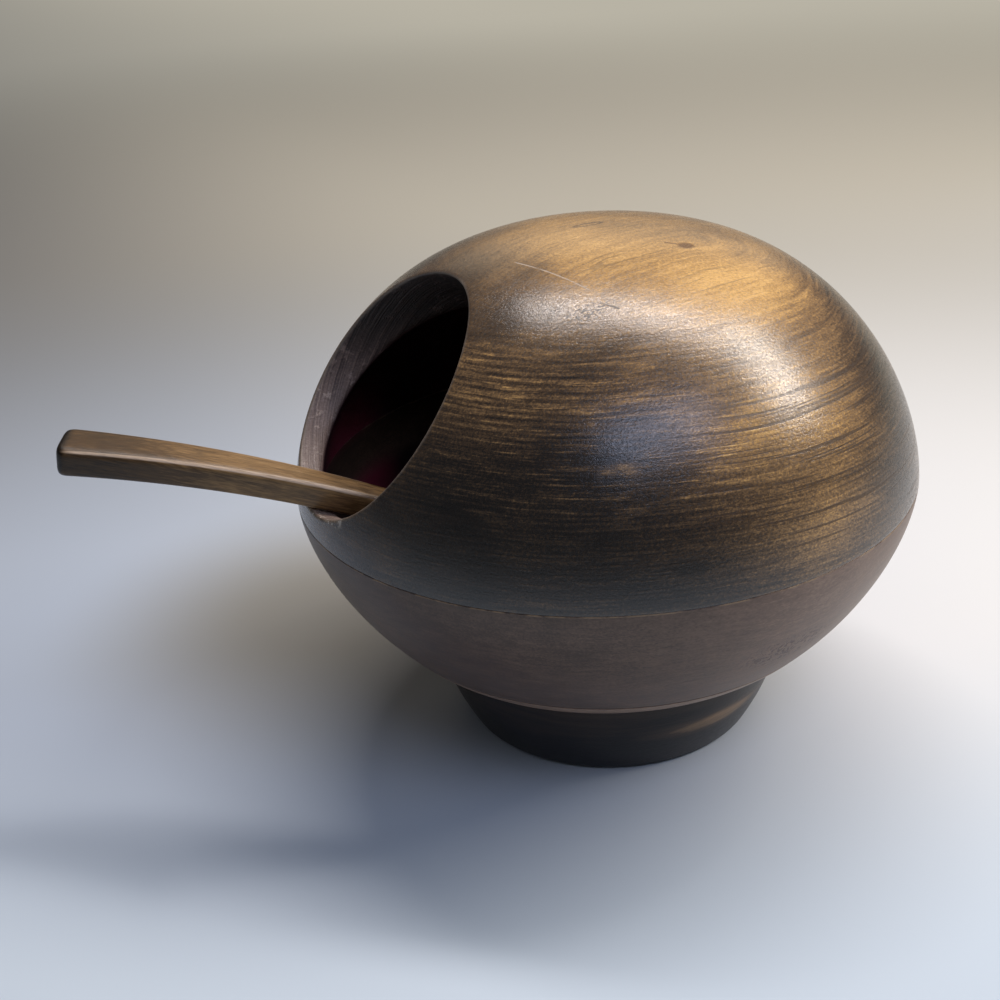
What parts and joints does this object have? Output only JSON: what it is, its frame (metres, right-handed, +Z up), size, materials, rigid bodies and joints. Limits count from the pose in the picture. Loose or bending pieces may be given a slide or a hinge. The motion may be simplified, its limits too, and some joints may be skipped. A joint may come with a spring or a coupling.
{
  "type": "salt bowl",
  "caption": "Squat turned wooden salt bowl on a small foot, with a slanted round mouth in its side and a carved wooden spoon resting in it.",
  "frame": {"origin": "centre of the foot's flat underside", "axes": "+Z up through the dome; the mouth faces -X, and +X is the longest extent, along which the spoon's handle stands out"},
  "size_m": [0.1688, 0.127, 0.1048],
  "materials": {
    "upper_wood": "dark stained, semi-gloss lacquer",
    "lower_wood": "dark stained, satin lacquer",
    "foot_wood": "near black stained, semi-gloss lacquer",
    "spoon_wood": "oiled, worn smooth"
  },
  "bodies": {
    "bowl": {"upper_body": "upper_wood", "lower_body": "lower_wood", "foot": "foot_wood"},
    "spoon": {"spoon": "spoon_wood"}
  },
  "joints": [
    {"name": "spoon_draw", "type": "slide", "parent": "bowl", "child": "spoon", "axis": [-0.8059, 0.3504, 0.4772], "range_m": [0, 0.115]}
  ]
}
